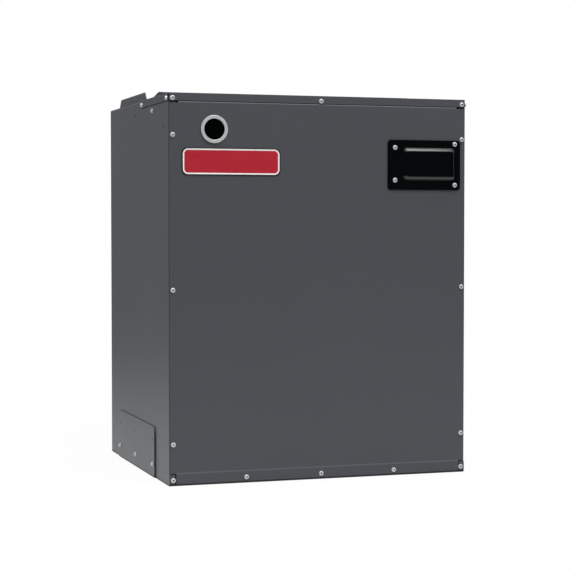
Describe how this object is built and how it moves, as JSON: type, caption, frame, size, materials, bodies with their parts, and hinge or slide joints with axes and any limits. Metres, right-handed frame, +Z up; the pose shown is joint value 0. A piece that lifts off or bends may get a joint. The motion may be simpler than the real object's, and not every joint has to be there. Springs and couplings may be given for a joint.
{
  "type": "modular blower",
  "caption": "Upright grey sheet-metal air handler cabinet with a removable front panel, a scroll blower with a motor in its inlet, and a control compartment above",
  "frame": {"origin": "middle of the cabinet footprint on the floor", "axes": "+X to the cabinet's right seen from the front, -Y out of the front panel, +Z up"},
  "size_m": [0.6332, 0.5418, 0.781],
  "materials": {
    "grey_paint": "satin powder coat",
    "side_paint": "satin powder coat",
    "galvanised": "galvanised sheet with a soft sheen",
    "foil_liner": "foil faced insulation",
    "motor_paint": "satin black enamel",
    "shaft_steel": "ground steel",
    "screw_zinc": "bright zinc plate",
    "rubber": "matt moulded rubber",
    "board_green": "satin solder mask",
    "black_plastic": "fine texture",
    "white_plastic": "smooth",
    "amber_plastic": "clear",
    "coil_wrap": "tape wrapped",
    "core_steel": "varnished laminations",
    "dark_glass": "polished",
    "bezel_silver": "satin",
    "plate_red": "satin gloss"
  },
  "bodies": {
    "cabinet": {"cabinet_wrapper": "side_paint", "base_pan": "grey_paint", "blower_deck": "galvanised", "control_partition": "galvanised", "heater_blank_plate": "galvanised", "top_front_cover": "grey_paint", "top_front_rail": "grey_paint", "top_brace": "galvanised", "supply_frame": "side_paint", "left_liner": "foil_liner", "right_liner": "foil_liner", "back_liner": "foil_liner", "side_access_cover": "side_paint", "scroll_wrap": "galvanised", "housing_side_left": "galvanised", "housing_side_right": "galvanised", "blower_rails": "galvanised", "motor_shell": "motor_paint", "motor_end_bell": "motor_paint", "motor_control_module": "motor_paint", "belly_band": "galvanised", "belly_band_bolt": "screw_zinc", "mount_arms": "galvanised", "mount_grommets": "rubber", "mount_bolts": "screw_zinc", "control_board": "board_green", "board_standoffs": "white_plastic", "board_relays": "black_plastic", "board_terminals": "black_plastic", "board_connectors": "white_plastic", "board_led": "amber_plastic", "board_fuse": "amber_plastic", "transformer_core": "core_steel", "transformer_coil": "coil_wrap", "top_cover_screws": "screw_zinc", "base_corner_screws": "screw_zinc", "brace_screws": "screw_zinc", "side_cover_screws": "screw_zinc", "inner_screws": "screw_zinc"},
    "wheel": {"wheel_disc": "galvanised", "blade_strip_left": "galvanised", "blade_strip_right": "galvanised", "wheel_hub": "shaft_steel", "hub_set_screw": "screw_zinc", "motor_shaft": "shaft_steel"},
    "panel": {"front_panel": "grey_paint", "panel_liner": "foil_liner", "panel_screws": "screw_zinc", "sight_bezel": "bezel_silver", "sight_lens": "dark_glass", "nameplate_rim": "bezel_silver", "nameplate_face": "plate_red", "breaker_cover": "black_plastic", "breaker_cover_screws": "screw_zinc"}
  },
  "joints": [
    {"name": "wheel_spin", "type": "hinge", "parent": "cabinet", "child": "wheel", "pos_m": [0, -0.027, 0.31], "axis": [1, 0, 0], "continuous": true},
    {"name": "panel_removal", "type": "slide", "parent": "cabinet", "child": "panel", "axis": [0, -1, 0], "range_m": [0, 0.3]}
  ]
}
